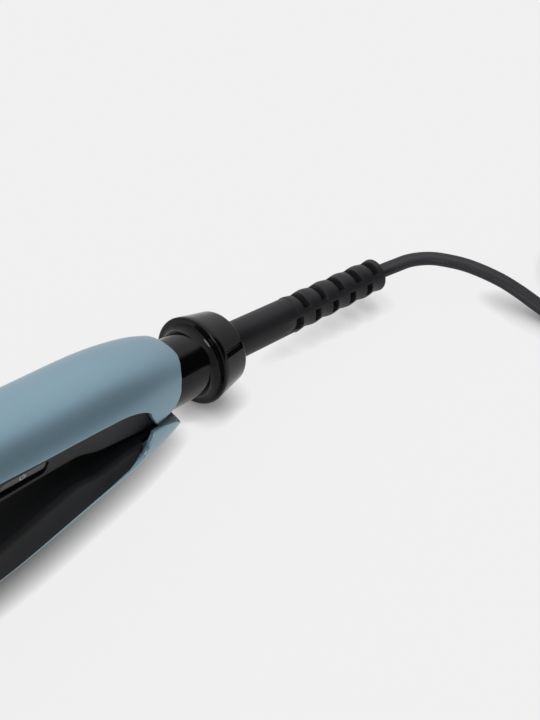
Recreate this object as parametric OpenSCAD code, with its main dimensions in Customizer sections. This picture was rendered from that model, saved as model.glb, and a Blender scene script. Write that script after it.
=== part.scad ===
// Hair straightener, lying open on its lower arm.
// X runs along the object, rear and lead towards +X. Z is up, Z = 0 is the table.
// Each arm is drawn closed, in an arm frame whose origin is the middle of the collar's front
// face: x = -s at a station s ahead of the collar, n is the height over the closing plane.
// The poses at the end of the Hidden section then open the arms and lay them on the table.

/* [Arms] */
// Length of the arms ahead of the collar's front face
arm_len = 236; // [225:1:250]
// Half width of the upper shell at the grip
grip_half_w = 17; // [16.2:0.1:18]
// Height of the shells over the closing plane at the grip
grip_h = 18.2; // [17.4:0.1:19]
// Wall of the shells and liners
wall = 1.6; // [1.2:0.1:1.8]
// Height over the closing plane where shell and liner meet
seam_n = 9; // [8.6:0.1:9.4]
// Height of the flat inner faces over the closing plane
face_n = 0.8; // [0.6:0.1:1.2]
// How much each side of a liner leans in, from the seam to its inner face
lean = 2.6; // [2:0.1:3]
// Angle between the arms when open
open_angle = 12; // [10:0.5:13]
// Angle between the upper arm and the table
tilt = 9.2; // [8.6:0.1:9.6]

/* [Hinge] */
// Distance of the hinge pin ahead of the collar's front face
hinge_s = 32; // [31:0.5:33]
// Radius of the hinge pin
pin_r = 1.5; // [1.2:0.1:1.7]
// Clearance round the pin in the lower bracket
pin_clear = 0.05; // [0.02:0.01:0.1]
// Radius of the round ears
ear_r = 3.6; // [3.2:0.1:3.8]
// Wire radius of the opening spring
spring_wire_r = 0.5; // [0.4:0.05:0.6]

/* [Plates] */
// Length of the heating plates
plate_len = 92; // [88:1:94]
// Width of the heating plates
plate_w = 24; // [22.5:0.5:24.5]
// Thickness of a plate's face
plate_t = 2; // [1.6:0.1:2.4]
// Gap between a plate and its holder
plate_gap = 0.3; // [0.2:0.05:0.4]
// How far a plate floats into its arm
plate_float = 0.8; // [0.5:0.1:0.9]
// Half of the gap left between the closed plates
plate_rest = 0.15; // [0.1:0.05:0.25]

/* [Button] */
// Station of the power button's middle
button_s = 82.5; // [80:0.5:84]
// Length of the power button
button_len = 17; // [15:0.5:18]
// Height of the power button
button_h = 3.4; // [3:0.1:4]
// Gap round the power button
button_gap = 0.25; // [0.2:0.05:0.35]
// Travel of the power button
button_travel = 0.6; // [0.4:0.1:0.7]

/* [Swivel] */
// Radius of the collar's front rim
collar_r = 14.2; // [13.8:0.1:14.6]
// Radius of the collar's rear rim
collar_rear_r = 11.8; // [11.4:0.1:12.2]
// Length of the collar
collar_len = 12.3; // [12:0.1:13]
// Radius of the neck
neck_r = 10.4; // [10.2:0.1:10.6]
// Radius of the ball in the collar
ball_r = 7.8; // [7.6:0.1:7.9]
// Clearance round the ball
ball_clear = 0.06; // [0.03:0.01:0.1]
// Radius of the strain relief at the collar
relief_r = 6.2; // [5.8:0.1:6.4]
// Radius of the strain relief at its end
relief_end_r = 5.3; // [5:0.1:5.6]
// Length of the strain relief from the ball's middle
relief_len = 77; // [74:1:80]
// Downward lean of the relief from level
relief_drop = 4.4; // [4:0.1:5]
// Sideways lean of the relief
relief_side = 8.2; // [7.6:0.1:8.8]

/* [Lead] */
// Width of the flat twin lead
lead_w = 5.4; // [5:0.1:5.6]
// Thickness of the flat twin lead
lead_t = 3.2; // [3:0.1:3.4]
// Width of the plug's face
plug_w = 35.3; // [34:0.1:35.5]
// Thickness of the plug's face
plug_t = 13.7; // [13:0.1:14]
// Spacing of the plug's pins
pin_pitch = 18.6; // [17.5:0.1:19.2]

/* [Hidden] */

teal = [0.48, 0.62, 0.68];
black = [0.07, 0.07, 0.08];
gloss = [0.03, 0.03, 0.035];
steel = [0.75, 0.76, 0.78];
brass = [0.8, 0.65, 0.35];
green = [0.1, 0.35, 0.2];
sand = [0.75, 0.7, 0.55];
cream = [0.9, 0.88, 0.8];

// Signed power, for rounded sections
function spow(v, e) = sign(v) * pow(abs(v), e);

// Smooth value at s through knots [s, value], with flat ends
function slope_at(k, i) =
  i == 0 || i == len(k) - 1 ? 0 : (k[i + 1][1] - k[i - 1][1]) / (k[i + 1][0] - k[i - 1][0]);
function cubic(t, a, b, da, db) =
  (2 * t ^ 3 - 3 * t ^ 2 + 1) * a + (t ^ 3 - 2 * t ^ 2 + t) * da
  + (3 * t ^ 2 - 2 * t ^ 3) * b + (t ^ 3 - t ^ 2) * db;
function glide(k, s, i = 0) =
  s <= k[0][0] ? k[0][1]
  : i >= len(k) - 1 ? k[len(k) - 1][1]
  : s > k[i + 1][0] ? glide(k, s, i + 1)
  : let (h = k[i + 1][0] - k[i][0])
    cubic((s - k[i][0]) / h, k[i][1], k[i + 1][1], h * slope_at(k, i), h * slope_at(k, i + 1));

// Stations of the shells' ends
nose_s = arm_len - 13;
tail_s = 14;
// Middle height of the rounded sections
mid_n = 2;
// How rounded the sections are: 2 is an ellipse
round_p = 2.2;

// Half widths and heights along the arms: station, value
upper_w = [[10, 11], [16, 12.9], [24, 14.7], [36, 16.3], [60, grip_half_w],
  [90, grip_half_w + 0.3], [140, grip_half_w - 0.6], [200, 16.2], [arm_len, 15.8]];
upper_h = [[10, 11.8], [15, 13.7], [21, 15.5], [30, 16.9], [42, grip_h - 0.3], [60, grip_h],
  [90, grip_h + 0.2], [140, 16.4], [200, 13.6], [arm_len, 12]];
lower_w = [[10, 12.4], [16, 13.9], [24, 15.8], [36, 17.4], [60, grip_half_w + 1.1],
  [90, grip_half_w + 1.6], [140, grip_half_w + 0.4], [200, 16.8], [arm_len, 16.2]];
lower_h = [[10, 16.4], [18, 17.2], [30, 17.8], [60, grip_h + 0.2], [90, grip_h + 0.3],
  [140, 16.5], [200, 13.7], [arm_len, 12]];

// Stations of the lofts
loft_s = [tail_s - 5, 12, 15, 18, 21.5, 25, 29, 34, 40, 48, 58, 70, 84, 100, 120, 140, 160, 180,
  200, nose_s];

// Liner's lower edge in the arm frame, and how far the boss at the hinge reaches past the plane
boss_n = -2.4;
scoop_n = 4.2;

// Plates
plate_front_s = nose_s - 3.5;
plate_rear_s = plate_front_s - plate_len;
plate_mid_s = (plate_front_s + plate_rear_s) / 2;
holder_wall = 1;
holder_w = plate_w + 2 * (plate_gap + holder_wall);
holder_len = plate_len + 2 * (plate_gap + holder_wall);
holder_depth = 6.1;
holder_step_n = 4.75;

// Pose of the arms
incline = open_angle - tilt;
rest_s = [for (s = [80 : 2 : nose_s]) s];
drop_to_table = max([for (s = rest_s) (s - hinge_s) * sin(incline) + glide(lower_h, s) * cos(incline)]);
hinge_z = drop_to_table;
collar_z = hinge_z - hinge_s * sin(tilt);
front_reach = hinge_s * cos(tilt) + (arm_len - hinge_s) * cos(incline);
// The ball's middle, behind the collar's front face
ball_x = 2.5;
ball_dir = [cos(relief_drop) * cos(relief_side), -cos(relief_drop) * sin(relief_side), -sin(relief_drop)];
rear_reach = ball_x * cos(tilt) + relief_len * ball_dir[0] + relief_end_r * sin(relief_side);
collar_x = (front_reach - rear_reach) / 2;
hinge_x = collar_x - hinge_s * cos(tilt);
ball_at = [collar_x + ball_x * cos(tilt), 0, collar_z - ball_x * sin(tilt)];

module upper_pose() { translate([collar_x, 0, collar_z]) rotate([0, tilt, 0]) children(); }
module lower_pose() {
  translate([hinge_x, 0, hinge_z]) rotate([0, -incline, 0]) translate([hinge_s, 0, 0]) children();
}
module relief_pose() { translate(ball_at) rotate([0, relief_drop, -relief_side]) children(); }
// The lower arm is drawn like the upper one and turned over
module turned_over() { mirror([0, 0, 1]) children(); }

// Closed loft through sections, each a ring of points in the same order
module loft(rings) {
  n = len(rings[0]);
  m = len(rings);
  polyhedron(
    points = [for (r = rings) each r],
    faces = concat(
      [[for (i = [0 : n - 1]) i]],
      [[for (i = [n - 1 : -1 : 0]) (m - 1) * n + i]],
      [for (j = [0 : m - 2], i = [0 : n - 1]) [j * n + i, (j + 1) * n + i, j * n + (i + 1) % n]],
      [for (j = [0 : m - 2], i = [0 : n - 1])
        [j * n + (i + 1) % n, (j + 1) * n + i, (j + 1) * n + (i + 1) % n]]));
}

// Rounded ring at station s: half width w, top h over the plane, depth under the middle
function round_ring(s, w, h, depth, k = 32) = [for (i = [0 : k - 1])
  let (a = 360 * (i + 0.5) / k, c = spow(cos(a), 2 / round_p), d = spow(sin(a), 2 / round_p))
  [-s, w * c, mid_n + (d > 0 ? (h - mid_n) * d : depth * d)]];

module barrel(ws, hs, inset, from_s, to_s) {
  rings = [for (s = loft_s) if (s >= from_s && s <= to_s)
    round_ring(s, glide(ws, s) - inset, glide(hs, s) - inset, 10 - inset)];
  loft([for (i = [len(rings) - 1 : -1 : 0]) rings[i]]);
}

// Side outlines, drawn in [s, n] and pushed across the arm
module across(w = 60) { rotate([90, 0, 0]) mirror([1, 0, 0]) linear_extrude(w, center = true) children(); }

// Height of the seam between shell and liner, and the lean of the liner's sides, along the arms
seam_line = [[50, seam_n - 0.4], [72, seam_n], [100, seam_n], [134, 4.6], [arm_len, 4.4]];
lean_line = [[30, 1.2], [46, lean], [76, lean], [100, 1.6], [134, 0.9], [arm_len, 0.9]];
function seam(s) = glide(seam_line, s);
seam_s = [56, 62, 72, 80, 100, 106, 112, 118, 124, 134, 160, 190, nose_s];
// Half width of the shell's surface where the seam crosses it
function seam_w(ws, hs, s) = let (h = glide(hs, s) - mid_n)
  glide(ws, s) * pow(1 - pow((min(seam(s), seam_n) - mid_n) / h, round_p), 1 / round_p);

liner_end_s = 28.5;
// The liners' side outlines end at the rear in a leaning line and a quarter ellipse that meets the seam
upper_end = [[30.2, boss_n], [34, 3.6], 50];
lower_end = [[34.4, 0.6], [36.8, 4.3], 46];
function liner_end(e) = [e[0], for (a = [0 : 15 : 90])
  [e[2] - (e[2] - e[1][0]) * cos(a), e[1][1] + (seam(e[2]) - e[1][1]) * sin(a)]];
function seam_points() = [for (s = seam_s) [s, seam(s)]];

// The upper shell's hem turns up at the rear in a quarter ellipse
hem_n = -0.5;
module upper_shell_outline() {
  polygon(concat(
    [[14.3, 40], [14.3, 14.2], [17.2, 10.4]],
    [for (a = [0 : 15 : 90]) [28 - 9 * cos(a), 6.4 + (hem_n - 6.4) * sin(a)]],
    [[upper_end[1][0] - 2.4, hem_n]], [for (p = liner_end(upper_end)) if (p[1] > hem_n) p],
    seam_points(), [[nose_s, 40]]));
}
// The lower shell's tail is cut low, so it stays clear of the neck
module lower_shell_outline() {
  polygon(concat(
    [[tail_s, 40], [tail_s, 17], [tail_s + 1.5, 15.4], [23.2, 5.9], [25, 4.5], [27.1, 3.3], [29.5, 2.1], [31.8, 1.2]],
    liner_end(lower_end), seam_points(), [[nose_s, 40]]));
}
module liner_outline(e) {
  polygon(concat(liner_end(e), seam_points(), [[nose_s, -12], [liner_end_s, -12]]));
}
// Narrow rear end of a liner, inside the shell
module liner_tongue() {
  across(2 * tongue_half_w) translate([liner_end_s, -12]) square([12, 12 + seam_n]);
}
tongue_half_w = 13;

// Bosses in the shells take the liner's screws
liner_screw_s = plate_rear_s - 5.2;
liner_screw_y = 7;
screw_r = 1.1;
boss_r = 2.6;
module at_liner_screws() {
  for (y = [-1, 1]) translate([-liner_screw_s, y * liner_screw_y, 0]) children();
}

module shell_skin(ws, hs) {
  difference() {
    union() {
      difference() {
        barrel(ws, hs, 0, 9, nose_s);
        translate([2, 0, 0]) barrel(ws, hs, wall, 9, nose_s);
        translate([-nose_s - 3, -12.4, mid_n]) cube([8, 24.8, 8]);
        translate([-24, 0, 0]) rotate([0, 90, 0]) cylinder(h = 18, r = neck_r + 0.3, $fn = 96);
      }
      at_liner_screws() translate([0, 0, face_n + wall + 0.1]) cylinder(h = 12.6, r = boss_r, $fn = 32);
    }
    at_liner_screws() cylinder(h = 12, r = screw_r + 0.05, $fn = 24);
  }
}

module upper_shell() {
  color(teal) upper_pose() intersection() {
    shell_skin(upper_w, upper_h);
    union() {
      across() upper_shell_outline();
      at_liner_screws() cylinder(h = 16, r = boss_r, $fn = 32);
    }
  }
}
module lower_shell() {
  color(teal) lower_pose() turned_over() intersection() {
    shell_skin(lower_w, lower_h);
    union() {
      across() lower_shell_outline();
      at_liner_screws() cylinder(h = 16, r = boss_r, $fn = 32);
    }
  }
}

// Inner face of a liner along the arm: level ahead, with a boss or a scoop round the hinge
upper_face = [[28, boss_n - 0.4], [42, boss_n], [52, boss_n + 0.8], [62, face_n]];
lower_face = [[28, scoop_n + 0.6], [42, scoop_n], [54, scoop_n - 0.8], [64, face_n]];
liner_s = [27, 31, 35, 40, 47, 51, 55, 58, 61, 64, 70, 84, 101, 110, 120, 135, 160, 190, 215];

function liner_ring(ws, hs, face, s, inset) =
  let (w = seam_w(ws, hs, s) - 0.15 - inset, f = glide(face, s) + inset, top = seam(s) + 1 + inset,
    l = glide(lean_line, s), r = 1.5,
    side = [[w + l * (top - seam(s)) / (seam(s) - f), top], [w - l * 0.72, f + 0.28 * (seam(s) - f)],
      [w - l + 0.1, f + r], [w - l - 0.25, f + 0.55 * r], [w - l - 0.75, f + 0.15 * r], [w - l - r, f]])
  [for (p = side) [-s, p[0], p[1]], for (i = [len(side) - 1 : -1 : 0]) [-s, -side[i][0], side[i][1]]];

module liner_block(ws, hs, face, inset) {
  stations = [25 - inset, each liner_s, nose_s + 1 + inset];
  rings = [for (i = [len(stations) - 1 : -1 : 0]) liner_ring(ws, hs, face, stations[i], inset)];
  loft([for (r = rings) [for (i = [len(r) - 1 : -1 : 0]) r[i]]]);
}

// Opening for the plate holder, and the holder's place in it
module at_plate() { translate([-plate_mid_s, 0, 0]) children(); }
module box(l, w, n0, n1) { translate([-l / 2, -w / 2, n0]) cube([l, w, n1 - n0]); }

// Board posts, and the button's place on the liner's side
board_n = 8.7;
board_t = 1.2;
board_rear_s = 50;
board_front_s = 118;
board_w = 23;
board_screws_at = [[54, -8.5], [54, 8.5], [114.5, -8.5], [114.5, 8.5]];
button_n = 6.4;
// Free height under the button in its slot
button_under = 1.4;
lens_s = 99;
lens_r = 1.5;
side_y = 15.8;

module lozenge(l, h, r) {
  for (x = [-1, 1], z = [-1, 1])
    translate([x * (l / 2 - r), z * (h / 2 - r)]) circle(r = r, $fn = 24);
  square([l - 2 * r, h], center = true);
  square([l, h - 2 * r], center = true);
}

// Hinge windows: openings in the liners for the ears, pin and spring
module hinge_window(half_w) {
  translate([-45, -half_w, -8]) cube([17.5, 2 * half_w, 16]);
}

module upper_liner() {
  color(black) upper_pose() difference() {
    union() {
      difference() {
        intersection() {
          liner_block(upper_w, upper_h, upper_face, 0);
          union() {
            across() liner_outline(upper_end);
            liner_tongue();
          }
        }
        liner_block(upper_w, upper_h, upper_face, wall);
      }
      for (p = board_screws_at)
        translate([-p[0], p[1], glide(upper_face, p[0]) + wall - 0.6])
          cylinder(h = board_n - glide(upper_face, p[0]) - wall + 0.6, r = 2.4, $fn = 32);
    }
    at_plate() box(holder_len, holder_w, -4, 20);
    hinge_window(11.2);
    translate([-button_s, -10, button_n]) rotate([90, 0, 0])
      linear_extrude(10) translate([0, -button_under / 2])
        lozenge(button_len + 2 * button_gap, button_h + 2 * button_gap + button_under, 1.5);
    translate([-lens_s, -10, button_n]) rotate([90, 0, 0]) cylinder(h = 10, r = lens_r, $fn = 32);
    at_liner_screws() translate([0, 0, -1]) cylinder(h = 6, r = screw_r + 0.05, $fn = 24);
    at_liner_screws() translate([0, 0, -1]) cylinder(h = 1 + face_n + 0.9, r = 2.1, $fn = 32);
    for (p = board_screws_at) translate([-p[0], p[1], 4]) cylinder(h = 6, r = 0.95, $fn = 24);
    for (y = [-6, 6]) translate([-bracket_screw_s, y, -6]) cylinder(h = 12, r = screw_r, $fn = 24);
  }
}
module lower_liner() {
  color(black) lower_pose() turned_over() difference() {
    intersection() {
      liner_block(lower_w, lower_h, lower_face, 0);
      union() {
        across() liner_outline(lower_end);
        liner_tongue();
      }
    }
    liner_block(lower_w, lower_h, lower_face, wall);
    at_plate() box(holder_len, holder_w, -4, 20);
    hinge_window(8.2);
    at_liner_screws() translate([0, 0, -1]) cylinder(h = 6, r = screw_r + 0.05, $fn = 24);
    at_liner_screws() translate([0, 0, -1]) cylinder(h = 1 + face_n + 0.9, r = 2.1, $fn = 32);
    for (y = [-5, 5]) translate([-lower_screw_s, y, -6]) cylinder(h = 22, r = screw_r, $fn = 24);
  }
}

// Heat-proof nose of an arm
module nose(ws, hs) {
  difference() {
    intersection() {
      nose_block(ws, hs, 1, arm_len - nose_s);
      translate([-arm_len - 5, -30, face_n]) cube([60, 60, 40]);
    }
    translate([0.5, 0, 0]) intersection() {
      nose_block(ws, hs, 0.86, arm_len - nose_s - 2.5);
      translate([-arm_len - 5, -30, face_n + wall]) cube([60, 60, 40]);
    }
  }
}
module nose_block(ws, hs, k, reach) {
  w = glide(ws, nose_s);
  h = glide(hs, nose_s);
  loft([for (q = [0.97, 0.9, 0.78, 0.6, 0.4, 0.2, 0]) let (c = pow(1 - pow(q, 2.4), 1 / 2.4))
    round_ring(nose_s + q * reach, w * k * (0.35 + 0.65 * c), mid_n + (h * k - mid_n) * (0.2 + 0.8 * c), 4)]);
}
module upper_tip() { color(black) upper_pose() nose(upper_w, upper_h); }
module lower_tip() { color(black) lower_pose() turned_over() nose(lower_w, lower_h); }

// Holder: a stepped tray round the plate, open towards the other arm
module holder() {
  top = face_n + holder_depth;
  difference() {
    at_plate() {
      box(holder_len, holder_w, face_n, holder_step_n);
      box(holder_len, holder_w - 2.2, face_n, top);
    }
    at_plate() {
      box(plate_len + 2 * plate_gap, plate_w + 2 * plate_gap, -1, holder_step_n - 0.2);
      box(plate_len + 2 * plate_gap, plate_w - 1.6, -1, top - holder_wall);
    }
    translate([-plate_rear_s - 6, -3, 0]) cube([4, 6, 20]);
    for (s = spring_s) translate([-s, 0, 0]) cylinder(h = 20, r = 1.2, $fn = 24);
  }
}
spring_s = [plate_rear_s + 8, plate_front_s - 8];
module upper_plate_holder() { color(black) upper_pose() holder(); }
module lower_plate_holder() { color(black) lower_pose() turned_over() holder(); }

// Sheet of insulation behind the holder
module insulation() {
  at_plate() box(plate_len - 14, plate_w - 5, face_n + holder_depth + 0.05, face_n + holder_depth + 0.65);
}
module upper_insulation() { color(sand) upper_pose() insulation(); }
module lower_insulation() { color(sand) lower_pose() turned_over() insulation(); }

// Plate: a channel with a rounded face, which holds the heater and its clip
plate_rib = 1.5;
module plate_section() {
  translate([1, -plate_w / 2]) square([plate_t - 1 + plate_rib, plate_w]);
  translate([0, -plate_w / 2 + 1]) square([plate_t, plate_w - 2]);
  for (y = [-1, 1]) translate([1, y * (plate_w / 2 - 1)]) circle(r = 1, $fn = 24);
}
module heater() {
  translate([-plate_mid_s, 0, 0]) box(62, 9, plate_rest + plate_t + 0.05, plate_rest + plate_t + 2.05);
}
module clips() {
  for (s = [plate_mid_s - 22, plate_mid_s + 22]) translate([-s, 0, 0]) {
    box(5, plate_w - 3.2, plate_rest + plate_t + 2.1, plate_rest + plate_t + 2.6);
  }
}
module thermistor() {
  translate([-plate_mid_s - 12, 7, plate_rest + plate_t + 1.1]) rotate([0, 90, 0]) {
    cylinder(h = 0.6, r1 = 0.5, r2 = 1, $fn = 32);
    translate([0, 0, 0.6]) cylinder(h = 1.2, r = 1, $fn = 32);
    translate([0, 0, 1.8]) cylinder(h = 0.6, r1 = 1, r2 = 0.5, $fn = 32);
    translate([0, 0, 2.4]) cylinder(h = 4, r = 0.4, $fn = 32);
  }
}
module upper_plate() { color(steel) upper_pose() plate(); }
module lower_plate() { color(steel) lower_pose() turned_over() plate(); }
module plate() {
  translate([-plate_rear_s, 0, plate_rest]) rotate([0, -90, 0]) linear_extrude(plate_len)
    difference() {
      plate_section();
      translate([plate_t, -plate_w / 2 + 1.5]) square([10, plate_w - 3]);
    }
}
module upper_heater() { color(cream) upper_pose() heater(); }
module lower_heater() { color(cream) lower_pose() turned_over() heater(); }
module upper_plate_clips() { color(steel) upper_pose() clips(); }
module lower_plate_clips() { color(steel) lower_pose() turned_over() clips(); }
module upper_thermistor() { color(cream) upper_pose() thermistor(); }
module lower_thermistor() { color(cream) lower_pose() turned_over() thermistor(); }

// Tube swept along points, oval if w and t differ; up is a direction across the tube
function unit(v) = v / norm(v);
function heading(p, i) = unit(p[min(i + 1, len(p) - 1)] - p[max(i - 1, 0)]);
function tube_ring(c, dir, w, t, up, k) =
  let (side = unit(cross(dir, up)), over = cross(dir, side))
  [for (j = [0 : k - 1]) let (a = 360 * (j + (k == 6 ? 0 : 0.5)) / k)
    c + side * w * cos(a) + over * t * sin(a)];
module tube(path, w, t, up, k) {
  loft([for (i = [0 : len(path) - 1]) tube_ring(path[i], heading(path, i), w, t, up, k)]);
}

// Compression springs behind the floating plates
plate_spring_r = 2.2;
plate_spring_wire = 0.3;
spring_base_n = plate_rest + plate_t + 0.1 + plate_spring_wire;
spring_top_n = face_n + holder_depth - holder_wall - 0.1 - plate_spring_wire;
module plate_spring(s) {
  turns = 3;
  translate([-s, 0, 0])
    tube([for (i = [0 : 12 * turns]) [plate_spring_r * cos(30 * i), plate_spring_r * sin(30 * i),
      spring_base_n + (spring_top_n - spring_base_n) * i / (12 * turns)]],
      plate_spring_wire, plate_spring_wire, [0, 0, 1], 6);
}
module upper_rear_plate_spring() { color(steel) upper_pose() plate_spring(spring_s[0]); }
module upper_front_plate_spring() { color(steel) upper_pose() plate_spring(spring_s[1]); }
module lower_rear_plate_spring() { color(steel) lower_pose() turned_over() plate_spring(spring_s[0]); }
module lower_front_plate_spring() { color(steel) lower_pose() turned_over() plate_spring(spring_s[1]); }

// Hinge: the upper bracket holds the pin, the lower bracket turns on it
bracket_screw_s = 47.5;
lower_screw_s = 48.5;
upper_ear_y = 8.4;
ear_t = 2.4;
lower_ear_y = 5;
module at_pin() { translate([-hinge_s, 0, 0]) rotate([90, 0, 0]) children(); }
module ears(inner_y, reach_n) {
  for (k = [-1, 1]) translate([0, k * (inner_y + ear_t / 2), 0]) {
    at_pin() cylinder(h = ear_t, r = ear_r, center = true, $fn = 64);
    translate([-hinge_s - ear_r, -ear_t / 2, 0]) cube([2 * ear_r, ear_t, reach_n]);
  }
}
bracket_n = ear_r + 0.5;
module upper_hinge_bracket() {
  color(black) upper_pose() difference() {
    union() {
      ears(upper_ear_y, bracket_n + 2);
      translate([-51, -upper_ear_y - ear_t, bracket_n]) cube([51 - hinge_s + ear_r, 2 * (upper_ear_y + ear_t), 2]);
      translate([-51, -9, 0.2]) cube([6.6, 18, bracket_n + 1]);
    }
    at_pin() cylinder(h = 60, r = pin_r, center = true, $fn = 64);
    for (y = [-6, 6]) translate([-bracket_screw_s, y, -6]) cylinder(h = 14, r = screw_r, $fn = 24);
  }
}
module lower_hinge_bracket() {
  color(black) lower_pose() turned_over() difference() {
    union() {
      ears(lower_ear_y, 7);
      translate([-51, -lower_ear_y - ear_t, 6.4]) cube([51 - hinge_s + ear_r, 2 * (lower_ear_y + ear_t), 2.6]);
    }
    at_pin() cylinder(h = 60, r = pin_r + pin_clear, center = true, $fn = 64);
    for (y = [-5, 5]) translate([-lower_screw_s, y, -6]) cylinder(h = 22, r = screw_r, $fn = 24);
  }
}
module hinge_pin() {
  color(steel) upper_pose() at_pin()
    cylinder(h = 2 * (upper_ear_y + ear_t), r = pin_r, center = true, $fn = 64);
}
// Torsion spring round the pin, with a leg on each bracket
spring_coil_r = 2.5;
spring_turns = 5;
module opening_spring() {
  pitch = 1.4;
  leg_n = bracket_n - spring_wire_r - 0.1;
  coil = [for (i = [0 : 12 * spring_turns]) let (a = 30 * i + 90)
    [-hinge_s + spring_coil_r * cos(a), -spring_turns * pitch / 2 + pitch * i / 12, spring_coil_r * sin(a)]];
  color(steel) upper_pose() tube(concat(
    [[-hinge_s - 9, -spring_turns * pitch / 2 - 0.3, leg_n],
      [-hinge_s - 3, -spring_turns * pitch / 2 - 0.15, leg_n - 0.4]],
    coil,
    [[-hinge_s - 3, spring_turns * pitch / 2 + 0.15, 1.9]]),
    spring_wire_r, spring_wire_r, [0, 1, 0], 6);
}

// Screws: a head and a plain shank
module screw(head_r, head_h, r, l) {
  cylinder(h = head_h, r = head_r, $fn = 32);
  translate([0, 0, head_h]) cylinder(h = l, r = r, $fn = 24);
}
module upper_liner_screws() {
  color(steel) upper_pose() at_liner_screws() translate([0, 0, face_n + 0.1]) screw(2, 0.8, screw_r, 9);
}
module lower_liner_screws() {
  color(steel) lower_pose() turned_over() at_liner_screws() translate([0, 0, face_n + 0.1])
    screw(2, 0.8, screw_r, 9);
}
module upper_bracket_screws() {
  color(steel) upper_pose() for (y = [-6, 6]) translate([-bracket_screw_s, y, bracket_n + 3])
    mirror([0, 0, 1]) screw(2, 1, screw_r, bracket_n + 2.6);
}
module lower_bracket_screws() {
  color(steel) lower_pose() turned_over() for (y = [-5, 5]) translate([-lower_screw_s, y, 10])
    mirror([0, 0, 1]) screw(2, 1, screw_r, 5);
}
module board_screws() {
  color(steel) upper_pose() for (p = board_screws_at)
    translate([-p[0], p[1], board_n + board_t + 1.1]) mirror([0, 0, 1]) screw(1.8, 1.1, 0.95, 5);
}

// Electronics in the upper arm
module board_frame() { translate([-board_front_s, -board_w / 2, board_n]) children(); }
module control_board() {
  color(green) upper_pose() difference() {
    board_frame() cube([board_front_s - board_rear_s, board_w, board_t]);
    for (p = board_screws_at) translate([-p[0], p[1], 0]) cylinder(h = 20, r = 1.1, $fn = 24);
  }
}
module tact_switch() {
  color(black) upper_pose() translate([-button_s, -9.8, button_n]) {
    translate([-3, 0, board_n - 5.2 - button_n]) cube([6, 3.4, 5.2]);
    rotate([90, 0, 0]) cylinder(h = 1.5, r = 1.6, $fn = 32);
  }
}
module triac() {
  color(black) upper_pose() translate([-72, -7.5, board_n + board_t]) {
    cube([10, 9, 4.4]);
    translate([-5, 0, 0]) cube([5, 9, 1.2]);
  }
}
module dropper_capacitor() {
  color([0.7, 0.2, 0.12]) upper_pose() translate([-104, -2, board_n + board_t]) cube([17, 7, 5.4]);
}
module status_lens() {
  color([0.9, 0.9, 0.85]) upper_pose() translate([-lens_s, -12.2, button_n]) rotate([90, 0, 0])
    cylinder(h = 2.6, r = lens_r - 0.05, $fn = 32);
}
module thermal_fuse() {
  color(steel) upper_pose() translate([-plate_rear_s - 18.5, 0, face_n + holder_depth + 2.7])
    rotate([0, 90, 0])
    cylinder(h = 10, r = 1.9, $fn = 32);
}
wire_r = 0.7;
module wires(paths) { for (p = paths) tube(p, wire_r, wire_r, [0, 0, 1], 6); }
module upper_heater_wires() {
  color([0.85, 0.85, 0.85]) upper_pose() wires([for (y = [-1.6, 1.6]) [
    [-plate_rear_s - 4.2, y, 7], [-plate_rear_s - 3.9, y, 9.6], [-plate_rear_s - 1, y * 1.4, 11.8],
    [-120, y * 1.6, 12.2], [-112, y * 1.8, 11.4], [-109, y * 1.8, 10.7]]]);
}
module lower_heater_wires() {
  color([0.85, 0.85, 0.85]) lower_pose() turned_over() wires([for (y = [-1.6, 1.6]) [
    [-plate_rear_s - 4.2, y, 7], [-plate_rear_s - 3.9, y, 9.2], [-plate_rear_s - 1, y * 1.3, 11],
    [-110, y * 1.3, 11.6], [-80, y * 1.3, 12], [-60, y * 1.3, 11.8], [-52, y, 11.2]]]);
}
module mains_wires() {
  color([0.3, 0.2, 0.15]) upper_pose() wires([for (y = [-1, 1]) [
    [-21.5, y * 3.5, 6], [-27, y * 3.6, 7], [-36, y * 3.8, 7.6], [-42, y * 3.9, 8], [-46.5, y * 4, 9.9],
    [-50, y * 4, 11], [-54, y * 3.6, 11.2], [-58, y * 3.2, 10.7]]]);
}

// Power button, its face following the lean of the liner's side
button_in_y = 9.8 + 1.5 + button_travel + 0.05;
module power_button() {
  color([0.16, 0.16, 0.18]) upper_pose() intersection() {
    translate([-button_s, -button_in_y, button_n]) rotate([90, 0, 0])
      linear_extrude(6) lozenge(button_len, button_h, 1.3);
    translate([-button_s, -side_y, seam_n]) rotate([atan(lean / (seam_n - face_n)), 0, 0])
      translate([-20, 0.45, -20]) cube([40, 20, 40]);
  }
}

// Neck and collar, one hollow turning with the socket of the ball
module turned() { rotate([0, 90, 0]) rotate_extrude($fn = 72) children(); }
socket_r = ball_r + ball_clear;
lip_x = ball_x + 4.2;
lip_r = sqrt(socket_r ^ 2 - 4.2 ^ 2);
neck_end = 22.5;
neck_bore = socket_r + 0.4;
fillet = 2.8;
module swivel_neck() {
  color(gloss) upper_pose() turned() difference() {
    union() {
      translate([0, -neck_end]) square([neck_r, neck_end + 1]);
      difference() {
        translate([0, -fillet]) square([neck_r + fillet, fillet + 0.5]);
        translate([neck_r + fillet, -fillet]) circle(r = fillet, $fn = 64);
      }
      polygon([[0, 0], [collar_r - 0.5, 0], [collar_r - 0.15, 0.12], [collar_r, 0.5],
        [collar_rear_r + 0.3, collar_len - 0.9], [collar_rear_r + 0.1, collar_len - 0.3],
        [collar_rear_r - 0.4, collar_len], [0, collar_len]]);
    }
    translate([0, ball_x]) intersection() {
      circle(r = socket_r, $fn = 72);
      translate([0, -0.01]) square(20);
    }
    translate([0, -6]) square([socket_r, 6 + ball_x]);
    translate([0, -neck_end - 1]) square([neck_bore, neck_end - 0.2]);
    polygon([[0, lip_x - 0.5], [lip_r, lip_x - 0.01], [lip_r, lip_x + 0.4], [9.2, collar_len + 0.01],
      [0, collar_len + 0.01]]);
  }
}
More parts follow.
